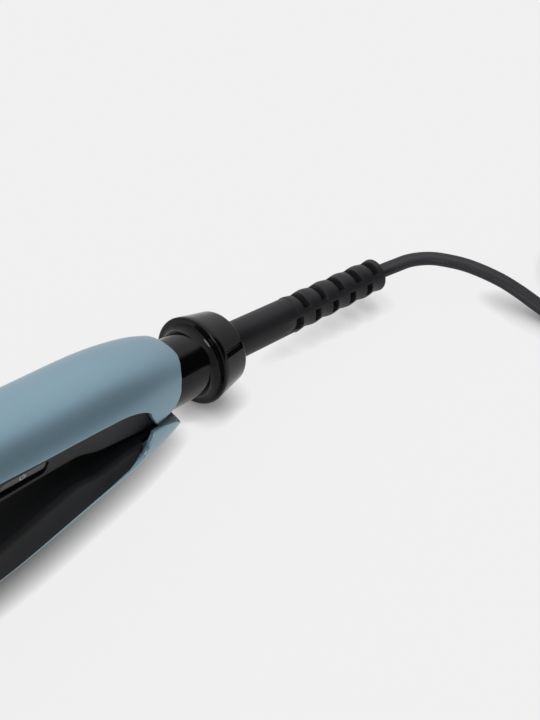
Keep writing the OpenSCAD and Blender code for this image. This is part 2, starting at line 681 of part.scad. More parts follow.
// Ring that keeps the ball in the collar
module socket_ring() {
  color(black) upper_pose() turned() difference() {
    translate([5.6, -5]) square([neck_bore - 5.6, 3.8]);
    translate([0, ball_x]) circle(r = socket_r, $fn = 72);
  }
}

// Ball, its stub with two slip rings, and its stem inside the strain relief
module turned_relief() { relief_pose() turned() children(); }
stub_r = 3;
stub_end = 17;
relief_start = 7.8;
stem_r = 4;
stem_end = 20;
module swivel_ball() {
  color([0.2, 0.2, 0.2]) turned_relief() difference() {
    union() {
      intersection() {
        circle(r = ball_r, $fn = 72);
        translate([0, -10]) square([20, 20]);
      }
      translate([0, -stub_end]) square([stub_r, stub_end]);
      square([stem_r, stem_end]);
    }
    translate([-1, -stub_end - 1]) square([1 + 1.8, stub_end + stem_end + 2]);
  }
}
slip_x = [-10.4, -14];
module slip_rings() {
  color(brass) turned_relief() for (x = slip_x) translate([stub_r, x - 0.9]) square([0.8, 1.8]);
}
// Two sprung contacts in the neck, one on each slip ring
module contact_brushes() {
  color(brass) relief_pose() for (k = [0, 1]) translate([slip_x[k], 0, 0]) rotate([k * 180, 0, 0]) {
    translate([-0.7, -1.2, stub_r + 0.85]) cube([1.4, 2.4, 1]);
    translate([-8, -1, stub_r + 1.85]) cube([8.7, 2, 0.4]);
  }
}

// Strain relief: a slightly waved rubber sleeve, slotted above, below and at both sides
slot_count = 5;
slot_pitch = 7.8;
slot_len = 2.3;
slot_floor_r = 3.3;
top_slot_from_end = 3.7;
side_slot_from_end = 7.6;
function relief_radius(x) = relief_r + (relief_end_r - relief_r) * (x - relief_start) / (relief_len - relief_start)
  + (x > relief_len - 39 ? 0.22 * cos(360 * (relief_len - x) / slot_pitch) : 0);
module slot(x, from_a, to_a) {
  translate([x, 0, 0]) rotate([from_a, 0, 0]) rotate([0, 90, 0])
    rotate_extrude(angle = from_a - to_a, $fn = 64) translate([slot_floor_r, -slot_len / 2]) square([6, slot_len]);
}
module strain_relief() {
  xs = [relief_start, relief_start + 20, for (x = [relief_len - 39 : 1.35 : relief_len - 0.5]) x];
  color(black) relief_pose() difference() {
    turned() difference() {
      polygon(concat([[0, relief_start]], [for (x = xs) [relief_radius(x), x]],
        [[relief_end_r - 0.35, relief_len], [0, relief_len]]));
      translate([-1, relief_start - 1]) square([1 + stem_r, stem_end - relief_start + 1]);
      translate([-1, relief_len - recess]) square([1 + recess_r, recess + 1]);
    }
    for (i = [0 : slot_count - 1]) {
      for (a = [0, 180]) slot(relief_len - top_slot_from_end - i * slot_pitch, a + 50, a - 50);
      for (a = [90, 270]) slot(relief_len - side_slot_from_end - i * slot_pitch, a + 20, a - 20);
    }
  }
}
recess = 2;
recess_r = 3;

// Lead: leaves the relief, arches down to the table and runs into the hank
exit_at = ball_at + (relief_len - recess + 0.2) * ball_dir;
lie_z = lead_t / 2;
hank_x = 257;
hank_y = -71;
hank_run = 32.5;
inner_w = 16.2;
hank_step = 6.6;
layer_step = 3.8;
waist_in = 11;
waist_up = 1.2;
hank_turns = 6;
outer_w = inner_w + 1.5 * hank_step;
hank_start = [hank_x - hank_run - lead_w, hank_y - outer_w, lie_z];
lead_route = [
  exit_at, exit_at + 4.5 * ball_dir, [164.5, -13.3, 10.6], [169.1, -16, 11.5], [173.8, -20.8, 12],
  [176.9, -26.8, 12], [180, -33, 11], [183.3, -43, 8.5], [184.8, -50.3, 6], [184.9, -58.4, 3.9],
  [185.1, -66, 2.4], [186.6, -74.5, 1.7], [189.4, -82, lie_z], [194.4, -88.8, lie_z], [201.4, -93.8, lie_z],
  [209.2, -96.5, lie_z], hank_start - [5, 0, 0], hank_start
];
module power_cord() { color(black) tube(lead_route, lead_w / 2, lead_t / 2, [0, 0, 1], 8); }

// Hank: loops that spiral in and out, a layer higher at each turn of the spiral
function ease(t) = let (c = max(0, min(1, t))) c * c * (3 - 2 * c);
function hank_w(u) = inner_w + hank_step * abs((u % 3) - 1.5);
function hank_z(u) = lie_z + layer_step * (ease((u - 1.5) / 0.18) + ease((u - 3) / 0.18) + ease((u - 4.5) / 0.18));
function waist(x) = (1 + cos(180 * x / hank_run)) / 2;
function hank_run_at(x, side, u) = [x, side * (hank_w(u) - waist_in * waist(x)), hank_z(u) + waist_up * waist(x)];
function hank_fold_at(end, a, u) = [end * hank_run + hank_w(u) * cos(a), hank_w(u) * sin(a), hank_z(u)];
function hank_at(u) = let (q = 4 * (u - floor(u)), t = q - floor(q))
  [hank_x, hank_y, 0] + (
    q < 1 ? hank_run_at(hank_run * (2 * t - 1), -1, u)
    : q < 2 ? hank_fold_at(1, -90 + 180 * t, u)
    : q < 3 ? hank_run_at(hank_run * (1 - 2 * t), 1, u)
    : hank_fold_at(-1, 90 + 180 * t, u));
// The last fold climbs over the hank to the plug, which lies on top
plug_y = -6.5;
plug_z = 21.9;
plug_rear = 6;
plug_relief_len = 22;
last_fold = 16.2;
hank_end = [for (p = concat(
    [[-11, 15.9, 14.1], [-22, 21.8, 14.8], [-32, 25.7, 16.1]],
    [for (a = [120 : 30 : 270]) [-33 + last_fold * cos(a), plug_y + last_fold + last_fold * sin(a),
      16.1 + 5.6 * (a - 90) / 180]],
    [[-24, plug_y, plug_z], [plug_rear - plug_relief_len + 1, plug_y, plug_z]]))
  [hank_x, hank_y, 0] + p];
hank_route = concat([hank_start], [for (i = [0 : 24 * hank_turns - 9]) hank_at(i / 24)], hank_end);
module cord_hank() { color(black) tube(hank_route, lead_w / 2, lead_t / 2, [0, 0, 1], 6); }

// Least gap of the hank to itself: flat sections, so heights count for more than widths
function flat_gap(a, b) = let (d = a - b, m = norm([d[0], d[1]]), k = norm([m / lead_w, d[2] / lead_t]))
  norm(d) * (1 - 1 / max(k, 0.01));
hank_gap = min([for (i = [0 : len(hank_route) - 1], j = [i + 6 : 1 : len(hank_route) - 1])
  flat_gap(hank_route[i], hank_route[j])]);
echo(least_gap_of_hank = hank_gap);

// Tie round the waist of the hank
module cord_tie() {
  y0 = -(hank_w(0.125) - waist_in) - lead_w / 2 - 1.7;
  y1 = hank_w(5.625) - waist_in + lead_w / 2 + 1.7;
  top = lie_z + 3 * layer_step + waist_up + lead_t / 2 + 0.5;
  color([0.1, 0.1, 0.1]) translate([hank_x - 4, hank_y, 0]) rotate([90, 0, 90]) linear_extrude(8) difference() {
    translate([y0 - 0.8, 0.05]) round_box(y1 - y0 + 1.6, top + 0.75, 3.8);
    translate([y0, 0.85]) round_box(y1 - y0, top - 0.85, 3);
  }
}
module round_box(w, h, r) {
  for (x = [r, w - r], y = [r, h - r]) translate([x, y]) circle(r = r, $fn = 32);
  translate([r, 0]) square([w - 2 * r, h]);
  translate([0, r]) square([w, h - 2 * r]);
}

// Plug: a flat waisted body with two round pins
plug_len = 35;
plug_pin_r = 2;
plug_pin_len = 19;
plug_flat = [[0, 20, 11], [5, 24, 12.4], [13, 21.4, 11.4], [21, 23, 11.8], [29, 32, 13.4], [32, 35.3, 13.7],
  [35, 35.3, 13.7]];
module plug_pose() { translate([hank_x + plug_rear, hank_y + plug_y, plug_z]) children(); }
function plug_section(x, w, t) = [for (i = [0 : 23]) let (a = -360 * (i + 0.5) / 24)
  [x, w / 2 * spow(cos(a), 0.5), t / 2 * spow(sin(a), 0.6)]];
// The pins' roots inside the body are thinner
plug_root_r = 1.4;
plug_root_len = 6;
module at_pins(x) {
  for (k = [-1, 1]) translate([x, k * pin_pitch / 2, 0]) rotate([0, 90, 0]) children();
}
module plug_body() {
  color(black) plug_pose() difference() {
    loft([for (k = plug_flat) plug_section(k[0], k[1] * plug_w / 35.3, k[2] * plug_t / 13.7)]);
    at_pins(plug_len - plug_root_len) cylinder(h = 8, r = plug_root_r, $fn = 48);
  }
}
module plug_relief() {
  color(black) plug_pose() rotate([0, 90, 0]) difference() {
    translate([0, 0, -plug_relief_len]) rotate_extrude($fn = 64)
      polygon([[0, 0], [3.5, 0], [3.8, 0.4], [4.4, plug_relief_len], [0, plug_relief_len]]);
    translate([0, 0, -plug_relief_len - 1]) cylinder(h = 2, r = recess_r, $fn = 48);
  }
}
module plug_pins() {
  color(steel) plug_pose() {
    at_pins(plug_len - plug_root_len) cylinder(h = plug_root_len + 1, r = plug_root_r, $fn = 48);
    at_pins(plug_len) cylinder(h = plug_pin_len - 1, r = plug_pin_r, $fn = 48);
    at_pins(plug_len + plug_pin_len - 1) cylinder(h = 1, r1 = plug_pin_r, r2 = 1.2, $fn = 48);
  }
}

upper_shell();
upper_liner();
upper_tip();
upper_plate_holder();
upper_insulation();
upper_hinge_bracket();
hinge_pin();
opening_spring();
swivel_neck();
socket_ring();
contact_brushes();
mains_wires();
control_board();
tact_switch();
triac();
dropper_capacitor();
status_lens();
thermal_fuse();
upper_heater_wires();
upper_rear_plate_spring();
upper_front_plate_spring();
upper_liner_screws();
upper_bracket_screws();
board_screws();
upper_plate();
upper_heater();
upper_plate_clips();
upper_thermistor();
lower_shell();
lower_liner();
lower_tip();
lower_plate_holder();
lower_insulation();
lower_hinge_bracket();
lower_heater_wires();
lower_rear_plate_spring();
lower_front_plate_spring();
lower_liner_screws();
lower_bracket_screws();
lower_plate();
lower_heater();
lower_plate_clips();
lower_thermistor();
power_button();
swivel_ball();
strain_relief();
slip_rings();
power_cord();
cord_hank();
cord_tie();
plug_body();
plug_relief();
plug_pins();
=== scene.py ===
import bpy, bmesh, math
import numpy as np
from mathutils import Matrix, Vector


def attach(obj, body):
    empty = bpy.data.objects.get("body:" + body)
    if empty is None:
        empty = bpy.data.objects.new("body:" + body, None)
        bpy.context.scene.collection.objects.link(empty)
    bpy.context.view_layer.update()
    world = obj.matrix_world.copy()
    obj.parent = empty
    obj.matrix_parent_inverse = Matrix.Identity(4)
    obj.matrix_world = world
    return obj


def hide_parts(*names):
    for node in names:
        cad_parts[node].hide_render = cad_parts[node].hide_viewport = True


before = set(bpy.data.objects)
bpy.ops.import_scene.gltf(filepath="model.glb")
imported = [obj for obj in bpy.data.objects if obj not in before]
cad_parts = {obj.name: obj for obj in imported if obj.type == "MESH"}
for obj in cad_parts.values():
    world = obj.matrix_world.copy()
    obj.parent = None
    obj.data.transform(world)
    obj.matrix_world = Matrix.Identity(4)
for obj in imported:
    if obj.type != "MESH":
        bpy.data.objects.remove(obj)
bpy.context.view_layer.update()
M = 0.001  # sizes below are in millimetres

# Sizes and places repeated from part.scad
# Points (s, n) lie s ahead of the collar's front face and n over the closing plane of an arm
ARM_LEN, WALL = 236.0, 1.6
SEAM_N, FACE_N, LEAN = 9.0, 0.8, 2.6
OPEN, TILT, HINGE_S = 12.0, 9.2, 32.0
INCLINE = OPEN - TILT
MID, P, DEPTH = 2.0, 2.2, 10.0
NOSE_S = ARM_LEN - 13
BOSS_N, HEM_N = -2.4, -0.5
COLLAR = (78.0664, 0.0, 16.7742)
HINGE = (46.4781, 0.0, 21.8904)
BALL = (80.5343, 0.0, 16.3745)
DROP, SIDE = 4.4, 8.2
UPPER_W = [(10, 11), (16, 12.9), (24, 14.7), (36, 16.3), (60, 17), (90, 17.3), (140, 16.4), (200, 16.2),
           (ARM_LEN, 15.8)]
UPPER_H = [(10, 11.8), (15, 13.7), (21, 15.5), (30, 16.9), (42, 17.9), (60, 18.2), (90, 18.4), (140, 16.4),
           (200, 13.6), (ARM_LEN, 12)]
LOWER_W = [(10, 12.4), (16, 13.9), (24, 15.8), (36, 17.4), (60, 18.1), (90, 18.6), (140, 17.4), (200, 16.8),
           (ARM_LEN, 16.2)]
LOWER_H = [(10, 16.4), (18, 17.2), (30, 17.8), (60, 18.4), (90, 18.5), (140, 16.5), (200, 13.7), (ARM_LEN, 12)]
SEAM = [(50, 8.6), (72, 9), (100, 9), (134, 4.6), (ARM_LEN, 4.4)]
LEANS = [(30, 1.2), (46, 2.6), (76, 2.6), (100, 1.6), (134, 0.9), (ARM_LEN, 0.9)]
UPPER_FACE = [(28, -2.8), (42, -2.4), (52, -1.6), (62, 0.8)]
LOWER_FACE = [(28, 4.8), (42, 4.2), (54, 3.4), (64, 0.8)]
UPPER_END = ((30.2, BOSS_N), (34.0, 3.6), 50.0)
LOWER_END = ((34.4, 0.6), (36.8, 4.3), 46.0)
LINER_END_S, TONGUE_END_S, TONGUE_HALF_W = 28.5, 40.5, 13.0
PLATE_LEN, PLATE_W, HOLDER_MARGIN = 92.0, 24.0, 1.3
PLATE_FRONT = NOSE_S - 3.5
PLATE_MID = PLATE_FRONT - PLATE_LEN / 2
BUTTON_S, BUTTON_LEN, BUTTON_H, BUTTON_N = 82.5, 17.0, 3.4, 6.4
BUTTON_GAP, BUTTON_UNDER, BUTTON_IN_Y, SIDE_Y = 0.25, 1.4, 11.95, 15.8
LENS_S, LENS_R = 99.0, 1.5
NECK_START, NECK_R, NECK_BORE_R = -22.5, 10.4, 8.26
COLLAR_R, COLLAR_LEN = 14.2, 12.3
RELIEF_START, RELIEF_LEN, RELIEF_R, RELIEF_END_R = 7.8, 77.0, 6.2, 5.3
LEAD_W, LEAD_T = 5.4, 3.2


def rot_y(deg):
    return Matrix.Rotation(math.radians(deg), 4, "Y")


def moved_to(point):
    return Matrix.Translation([c * M for c in point])


UPPER_POSE = moved_to(COLLAR) @ rot_y(TILT)
FLIP = Matrix.Scale(-1, 4, (0, 0, 1))
LOWER_POSE = moved_to(HINGE) @ rot_y(-INCLINE) @ moved_to((HINGE_S, 0, 0)) @ FLIP
RELIEF_POSE = moved_to(BALL) @ Matrix.Rotation(math.radians(-SIDE), 4, "Z") @ rot_y(DROP)

# Camera, fitted to the neck, the collar and the strain relief
CAMERA_AT, CAMERA_AZ, CAMERA_EL = (-0.19119, -0.26101, 0.33132), -49.591, 40.0
scene = bpy.context.scene
cam_data = bpy.data.cameras.new("camera")
cam = bpy.data.objects.new("camera", cam_data)
scene.collection.objects.link(cam)
az, el = math.radians(CAMERA_AZ), math.radians(CAMERA_EL)
right = Vector((math.cos(az), math.sin(az), 0))
back = Vector((math.sin(az) * math.cos(el), -math.cos(az) * math.cos(el), math.sin(el)))
up = back.cross(right)
cam.matrix_world = Matrix.Translation(CAMERA_AT) @ Matrix(
    [[right[i], up[i], back[i], 0] for i in range(3)] + [[0, 0, 0, 1]])
cam_data.sensor_fit = "VERTICAL"
cam_data.sensor_height = 24.0
cam_data.lens = 53.333
cam_data.clip_start = 0.01
cam_data.clip_end = 50
scene.camera = cam


# Curves and sections of the arms
def spow(v, e):
    return math.copysign(abs(v) ** e, v)


def slope(k, j):
    return 0 if j in (0, len(k) - 1) else (k[j + 1][1] - k[j - 1][1]) / (k[j + 1][0] - k[j - 1][0])


def glide(k, s):
    """Smooth curve through the points k, level past its ends."""
    if s <= k[0][0]:
        return k[0][1]
    for i in range(len(k) - 1):
        if s <= k[i + 1][0]:
            h = k[i + 1][0] - k[i][0]
            t = (s - k[i][0]) / h
            a, b = k[i][1], k[i + 1][1]
            da, db = slope(k, i) * h, slope(k, i + 1) * h
            return ((2 * t**3 - 3 * t**2 + 1) * a + (t**3 - 2 * t**2 + t) * da
                    + (3 * t**2 - 2 * t**3) * b + (t**3 - t**2) * db)
    return k[-1][1]


def seam(s):
    return glide(SEAM, s)


def seam_w(ws, hs, s):
    """Half width of an arm where the seam crosses its surface."""
    h = glide(hs, s) - MID
    return glide(ws, s) * (1 - ((min(seam(s), SEAM_N) - MID) / h) ** P) ** (1 / P)


def skin_point(ws, hs, s, theta):
    """Point on an arm's rounded section at station s, theta from its near side."""
    w, h = glide(ws, s), glide(hs, s)
    d = spow(math.sin(theta), 2 / P)
    return (-s, w * spow(math.cos(theta), 2 / P), MID + ((h - MID) * d if d > 0 else DEPTH * d))


def rear_end(end, count=24):
    """A leaning line and a quarter ellipse that end the liner's side at the rear."""
    start, (s1, n1), top = end
    return [start] + [(top - (top - s1) * math.cos(a), n1 + (seam(top) - n1) * math.sin(a))
                      for a in (math.pi / 2 * i / count for i in range(count + 1))]


def stations(a, b, step):
    n = max(1, round((b - a) / step))
    return [a + (b - a) * i / n for i in range(n + 1)]


# Mesh helpers
def make(name, verts, faces, pose=None):
    """Smooth mesh object from millimetres, placed by a pose."""
    me = bpy.data.meshes.new(name)
    me.from_pydata([tuple(c * M for c in v) for v in verts], [], faces)
    if pose is not None:
        me.transform(pose)
        if pose.determinant() < 0:
            me.flip_normals()
    me.validate()
    me.polygons.foreach_set("use_smooth", [True] * len(me.polygons))
    me.update()
    o = bpy.data.objects.new(name, me)
    scene.collection.objects.link(o)
    return o


def outward(o):
    bm = bmesh.new()
    bm.from_mesh(o.data)
    bmesh.ops.recalc_face_normals(bm, faces=bm.faces)
    bm.to_mesh(o.data)
    bm.free()


def sharp_by_angle(o, deg):
    bm = bmesh.new()
    bm.from_mesh(o.data)
    lim = math.radians(deg)
    for e in bm.edges:
        e.smooth = not (len(e.link_faces) == 2 and e.calc_face_angle(0) > lim)
    for f in bm.faces:
        f.smooth = True
    bm.to_mesh(o.data)
    bm.free()


def apply_all(o):
    dg = bpy.context.evaluated_depsgraph_get()
    me = bpy.data.meshes.new_from_object(o.evaluated_get(dg))
    o.modifiers.clear()
    o.data = me


def combine(o, tool, operation):
    """Boolean of a piece with a tool, which it uses up."""
    m = o.modifiers.new(operation.lower(), "BOOLEAN")
    m.object, m.operation, m.solver = tool, operation, "EXACT"
    apply_all(o)
    bpy.data.objects.remove(tool)


def cut(o, tool):
    combine(o, tool, "DIFFERENCE")


def loft(name, rings, pose):
    """Closed solid through rings of points, with flat ends."""
    n, verts, faces = len(rings[0]), [], []
    for r in rings:
        verts += [tuple(p) for p in r]
    for j in range(len(rings) - 1):
        for i in range(n):
            faces.append([j * n + i, j * n + (i + 1) % n, (j + 1) * n + (i + 1) % n, (j + 1) * n + i])
    faces.append(list(range(n)))
    faces.append([(len(rings) - 1) * n + i for i in range(n)])
    o = make(name, verts, faces, pose)
    outward(o)
    return o


def prism(name, outline, y0, y1, pose):
    """An outline of (s, n) points pushed across the arm from y0 to y1."""
    return loft(name, [[(-s, y, n) for s, n in outline] for y in (y0, y1)], pose)


def block(s, y, n, pose):
    """A cutting box from ranges along, across and over the arm."""
    return prism("tool", [(s[0], n[0]), (s[1], n[0]), (s[1], n[1]), (s[0], n[1])], y[0], y[1], pose)


def lozenge(l, h, r, k=8):
    """Points round a rectangle with round corners, middle at the origin."""
    pts = []
    for cx, cy, a0 in ((1, 1, 0), (-1, 1, 90), (-1, -1, 180), (1, -1, 270)):
        for i in range(k + 1):
            a = math.radians(a0 + 90 * i / k)
            pts.append((cx * (l / 2 - r) + r * math.cos(a), cy * (h / 2 - r) + r * math.sin(a)))
    return pts


def sweep(name, path, section):
    """A section of (sideways, up) points along a path."""
    rings = []
    for i, c in enumerate(path):
        d = path[min(i + 1, len(path) - 1)] - path[max(i - 1, 0)]
        d /= np.linalg.norm(d)
        side = np.cross(d, (0.0, 0.0, 1.0))
        side /= np.linalg.norm(side)
        over = np.cross(side, d)
        rings.append([c + side * x + over * z for x, z in section])
    return loft(name, rings, None)


def lathe(name, profile, pose, seg):
    """A closed profile of (x, r) points turned about the x axis."""
    verts, faces = [], []
    n = len(profile)
    for k in range(seg):
        a = 2 * math.pi * k / seg
        for x, r in profile:
            verts.append((x, r * math.cos(a), r * math.sin(a)))
    for k in range(seg):
        after = (k + 1) % seg
        for i in range(n):
            j = (i + 1) % n
            faces.append([k * n + i, k * n + j, after * n + j, after * n + i])
    o = make(name, verts, faces, pose)
    outward(o)
    sharp_by_angle(o, 40)
    return o


def thick_grid(name, outer, normals, thick, pose, edge=0.3):
    """A sheet from a grid of outer points and their normals, with a rounded rim all round."""
    g, nrm = np.array(outer, float), np.array(normals, float)
    nu, nv = g.shape[:2]
    inner = g - nrm * thick
    verts = [tuple(v) for v in g.reshape(-1, 3)] + [tuple(v) for v in inner.reshape(-1, 3)]
    base = nu * nv
    faces = []
    for i in range(nu - 1):
        for j in range(nv - 1):
            q = [i * nv + j, (i + 1) * nv + j, (i + 1) * nv + j + 1, i * nv + j + 1]
            faces += [q, [base + k for k in reversed(q)]]
    rim = [(i, 0) for i in range(nu)] + [(nu - 1, j) for j in range(1, nv)]
    rim += [(i, nv - 1) for i in range(nu - 2, -1, -1)] + [(0, j) for j in range(nv - 2, 0, -1)]
    side = 0
    loops = []
    for k, (i, j) in enumerate(rim):
        p, n = g[i, j], nrm[i, j]
        along = g[rim[(k + 1) % len(rim)]] - g[rim[k - 1]]
        out = np.cross(n, along)
        out /= max(np.linalg.norm(out), 1e-9)
        if not side:
            step = g[min(i + 3, nu - 1), min(j + 3, nv - 1)] - p
            side = -1 if out.dot(step) > 0 else 1
        out *= side
        ring = [i * nv + j]
        for a in (22.5, 45, 67.5, 90):
            r = math.radians(a)
            verts.append(tuple(p - n * edge + edge * (n * math.cos(r) + out * math.sin(r))))
            ring.append(len(verts) - 1)
        for depth, reach in ((thick - edge / 2, edge), (thick, edge / 2)):
            verts.append(tuple(p - n * depth + out * reach))
            ring.append(len(verts) - 1)
        loops.append(ring + [base + i * nv + j])
    for a, b in zip(loops, loops[1:] + loops[:1]):
        for k in range(len(a) - 1):
            faces.append([a[k], b[k], b[k + 1], a[k + 1]])
    o = make(name, verts, faces, pose)
    outward(o)
    return o


# Materials
def material(name):
    m = bpy.data.materials.new(name)
    m.use_nodes = True
    nt = m.node_tree
    nt.nodes.clear()
    out = nt.nodes.new("ShaderNodeOutputMaterial")
    b = nt.nodes.new("ShaderNodeBsdfPrincipled")
    nt.links.new(b.outputs[0], out.inputs[0])
    return m, nt, b


def coords(nt, scale=(1, 1, 1)):
    tc = nt.nodes.new("ShaderNodeTexCoord")
    mp = nt.nodes.new("ShaderNodeMapping")
    mp.inputs["Scale"].default_value = scale
    nt.links.new(tc.outputs["Object"], mp.inputs["Vector"])
    return mp.outputs["Vector"]


def noise(nt, vec, scale, rough=0.5):
    n = nt.nodes.new("ShaderNodeTexNoise")
    n.inputs["Scale"].default_value = scale
    n.inputs["Detail"].default_value = 2
    n.inputs["Roughness"].default_value = rough
    nt.links.new(vec, n.inputs["Vector"])
    return n.outputs["Fac"]


def two_tones(nt, fac, lo, hi):
    r = nt.nodes.new("ShaderNodeValToRGB")
    for element, at, tone in zip(r.color_ramp.elements, (0.3, 0.7), (lo, hi)):
        element.position = at
        element.color = (*tone, 1)
    nt.links.new(fac, r.inputs["Fac"])
    return r.outputs["Color"]


def span(nt, fac, lo, hi):
    m = nt.nodes.new("ShaderNodeMapRange")
    m.inputs["To Min"].default_value = lo
    m.inputs["To Max"].default_value = hi
    nt.links.new(fac, m.inputs["Value"])
    return m.outputs["Result"]


def bump(nt, b, height, strength, dist):
    n = nt.nodes.new("ShaderNodeBump")
    n.inputs["Strength"].default_value = strength
    n.inputs["Distance"].default_value = dist
    nt.links.new(height, n.inputs["Height"])
    nt.links.new(n.outputs["Normal"], b.inputs["Normal"])


def lin(rgb):
    """Linear colour of a display colour from 0 to 255."""
    return tuple((c / 255 / 12.92) if c / 255 <= 0.04045 else ((c / 255 + 0.055) / 1.055) ** 2.4 for c in rgb)


def grained(name, lo, hi, rough, grain, strength, dist=0.00004, metallic=0.0, coat=0.0, coat_rough=0.1,
            patch=40.0, spec=0.5, stretch=(1, 1, 1)):
    """Base colour that drifts between two tones, a fine grain in the normal and the roughness."""
    m, nt, b = material(name)
    v = coords(nt, stretch)
    drift = noise(nt, v, patch)
    fine = noise(nt, v, grain, 0.6)
    nt.links.new(two_tones(nt, drift, lin(lo), lin(hi)), b.inputs["Base Color"])
    nt.links.new(span(nt, fine, *rough), b.inputs["Roughness"])
    b.inputs["Metallic"].default_value = metallic
    b.inputs["Coat Weight"].default_value = coat
    b.inputs["Coat Roughness"].default_value = coat_rough
    b.inputs["Specular IOR Level"].default_value = spec
    bump(nt, b, fine, strength, dist)
    return m


MAT = {
    "teal": grained("satin_lacquer", (118, 146, 160), (125, 153, 167), (0.36, 0.44), 5200, 0.12, 0.00002,
                    metallic=0.55, coat=0.12, coat_rough=0.3, patch=18),
    "liner": grained("matt_black", (20, 21, 23), (25, 26, 29), (0.5, 0.62), 4200, 0.3, 0.00005,
                     patch=30, spec=0.22),
    "gloss": grained("gloss_black", (6, 6, 7), (8, 8, 9), (0.03, 0.07), 900, 0.02, 0.00002,
                     patch=30, spec=0.2),
    "button": grained("button_grey", (50, 50, 54), (57, 57, 61), (0.38, 0.48), 4200, 0.2, 0.00003, patch=60),
    "rubber": grained("black_rubber", (22, 22, 24), (28, 28, 31), (0.42, 0.54), 3000, 0.3, 0.00005,
                      patch=60, spec=0.26),
    "lead": grained("black_lead", (26, 26, 29), (34, 34, 37), (0.4, 0.52), 2600, 0.2, patch=90, spec=0.3),
    "plate": grained("plate_coating", (176, 168, 160), (186, 178, 170), (0.2, 0.28), 2500, 0.05, 0.00001,
                     metallic=0.8, coat=0.3, patch=30, stretch=(1, 6, 1)),
    "steel": grained("bright_steel", (186, 188, 192), (200, 201, 205), (0.22, 0.34), 1800, 0.08, 0.00001,
                     metallic=1.0, patch=200),
    "brass": grained("brass", (196, 166, 104), (208, 178, 116), (0.2, 0.32), 1500, 0.06, 0.00001,
                     metallic=1.0, patch=300),
    "pins": grained("nickel_pins", (190, 188, 180), (204, 202, 194), (0.18, 0.28), 1800, 0.05, 0.00001,
                    metallic=1.0, patch=300),
    "ceramic": grained("ceramic", (226, 222, 212), (236, 232, 224), (0.5, 0.62), 1600, 0.2, patch=200),
    "board": grained("solder_mask", (22, 84, 52), (28, 96, 60), (0.3, 0.4), 1200, 0.1, patch=500),
    "film": grained("dipped_red", (150, 52, 34), (166, 60, 40), (0.2, 0.3), 700, 0.1, patch=300),
    "mica": grained("mica_sheet", (196, 184, 150), (212, 200, 168), (0.4, 0.6), 900, 0.2, patch=250),
    "wire_white": grained("silicone_wire", (222, 220, 214), (232, 230, 226), (0.45, 0.55), 1500, 0.1,
                          patch=200),
    "wire_dark": grained("dark_wire", (70, 50, 40), (82, 60, 48), (0.4, 0.5), 1500, 0.1, patch=200),
    "lens": grained("frosted_lens", (196, 198, 196), (208, 210, 208), (0.25, 0.4), 1200, 0.1, patch=300),
    "icon": grained("icon_print", (196, 198, 200), (206, 208, 210), (0.5, 0.6), 1500, 0.05, patch=300),
}


def paint(o, key):
    o.data.materials.clear()
    o.data.materials.append(MAT[key])


# Lead from the relief to the table, its hank and the way to the plug
HANK_X, HANK_Y, RUN, IN_W, STEP, LAYER = 257.0, -71.0, 32.5, 16.2, 6.6, 3.8
WAIST_IN, WAIST_UP, CLIMB = 11.0, 1.2, 0.18
TURNS, POINTS_A_TURN, POINTS_LEFT_OFF = 6, 24, 8
OUT_W, LIE = IN_W + 1.5 * STEP, LEAD_T / 2
BALL_DIR = np.array([0.986859, -0.142209, -0.076719])
EXIT = np.array(BALL) + (RELIEF_LEN - 1.8) * BALL_DIR
START = np.array([HANK_X - RUN - LEAD_W, HANK_Y - OUT_W, LIE])
ROUTE = [EXIT, EXIT + 4.5 * BALL_DIR] + [np.array(p, float) for p in (
    (164.5, -13.3, 10.6), (169.1, -16, 11.5), (173.8, -20.8, 12), (176.9, -26.8, 12), (180, -33, 11),
    (183.3, -43, 8.5), (184.8, -50.3, 6), (184.9, -58.4, 3.9), (185.1, -66, 2.4), (186.6, -74.5, 1.7),
    (189.4, -82, LIE), (194.4, -88.8, LIE), (201.4, -93.8, LIE), (209.2, -96.5, LIE))]
ROUTE += [START - [5, 0, 0], START]
PLUG_Y, PLUG_Z, PLUG_REAR, PLUG_RELIEF = -6.5, 21.9, 6.0, 22.0
LAST_X, LAST_R, LAST_Z, LAST_RISE = -33.0, 16.2, 16.1, 5.6


def ease(t):
    c = max(0.0, min(1.0, t))
    return c * c * (3 - 2 * c)


def hank_w(u):
    """Half width of the hank after u turns: out and in again at a steady rate."""
    return IN_W + STEP * abs((u % 3) - 1.5)


def hank_z(u):
    return LIE + LAYER * sum(ease((u - at) / CLIMB) for at in (1.5, 3, 4.5))


def waist(x):
    return (1 + math.cos(math.pi * x / RUN)) / 2


def hank_at(u):
    q = 4 * (u - math.floor(u))
    t = q - math.floor(q)
    w, z = hank_w(u), hank_z(u)
    if q < 1 or 2 <= q < 3:
        x = RUN * (2 * t - 1) * (1 if q < 1 else -1)
        p = (x, (-1 if q < 1 else 1) * (w - WAIST_IN * waist(x)), z + WAIST_UP * waist(x))
    else:
        a = math.radians((-90 if q < 2 else 90) + 180 * t)
        p = ((RUN if q < 2 else -RUN) + w * math.cos(a), w * math.sin(a), z)
    return np.array(p) + [HANK_X, HANK_Y, 0]


hank = [hank_at(i / POINTS_A_TURN) for i in range(POINTS_A_TURN * TURNS - POINTS_LEFT_OFF)]
tail = [(-11, 15.9, 14.1), (-22, 21.8, 14.8), (-32, 25.7, 16.1)]
for deg in range(120, 271, 30):
    turn = math.radians(deg)
    tail.append((LAST_X + LAST_R * math.cos(turn), PLUG_Y + LAST_R + LAST_R * math.sin(turn),
                 LAST_Z + LAST_RISE * (deg - 90) / 180))
tail += [(-24, PLUG_Y, PLUG_Z), (PLUG_REAR - PLUG_RELIEF + 1, PLUG_Y, PLUG_Z)]
knots = ROUTE + hank + [np.array(p) + [HANK_X, HANK_Y, 0] for p in tail]


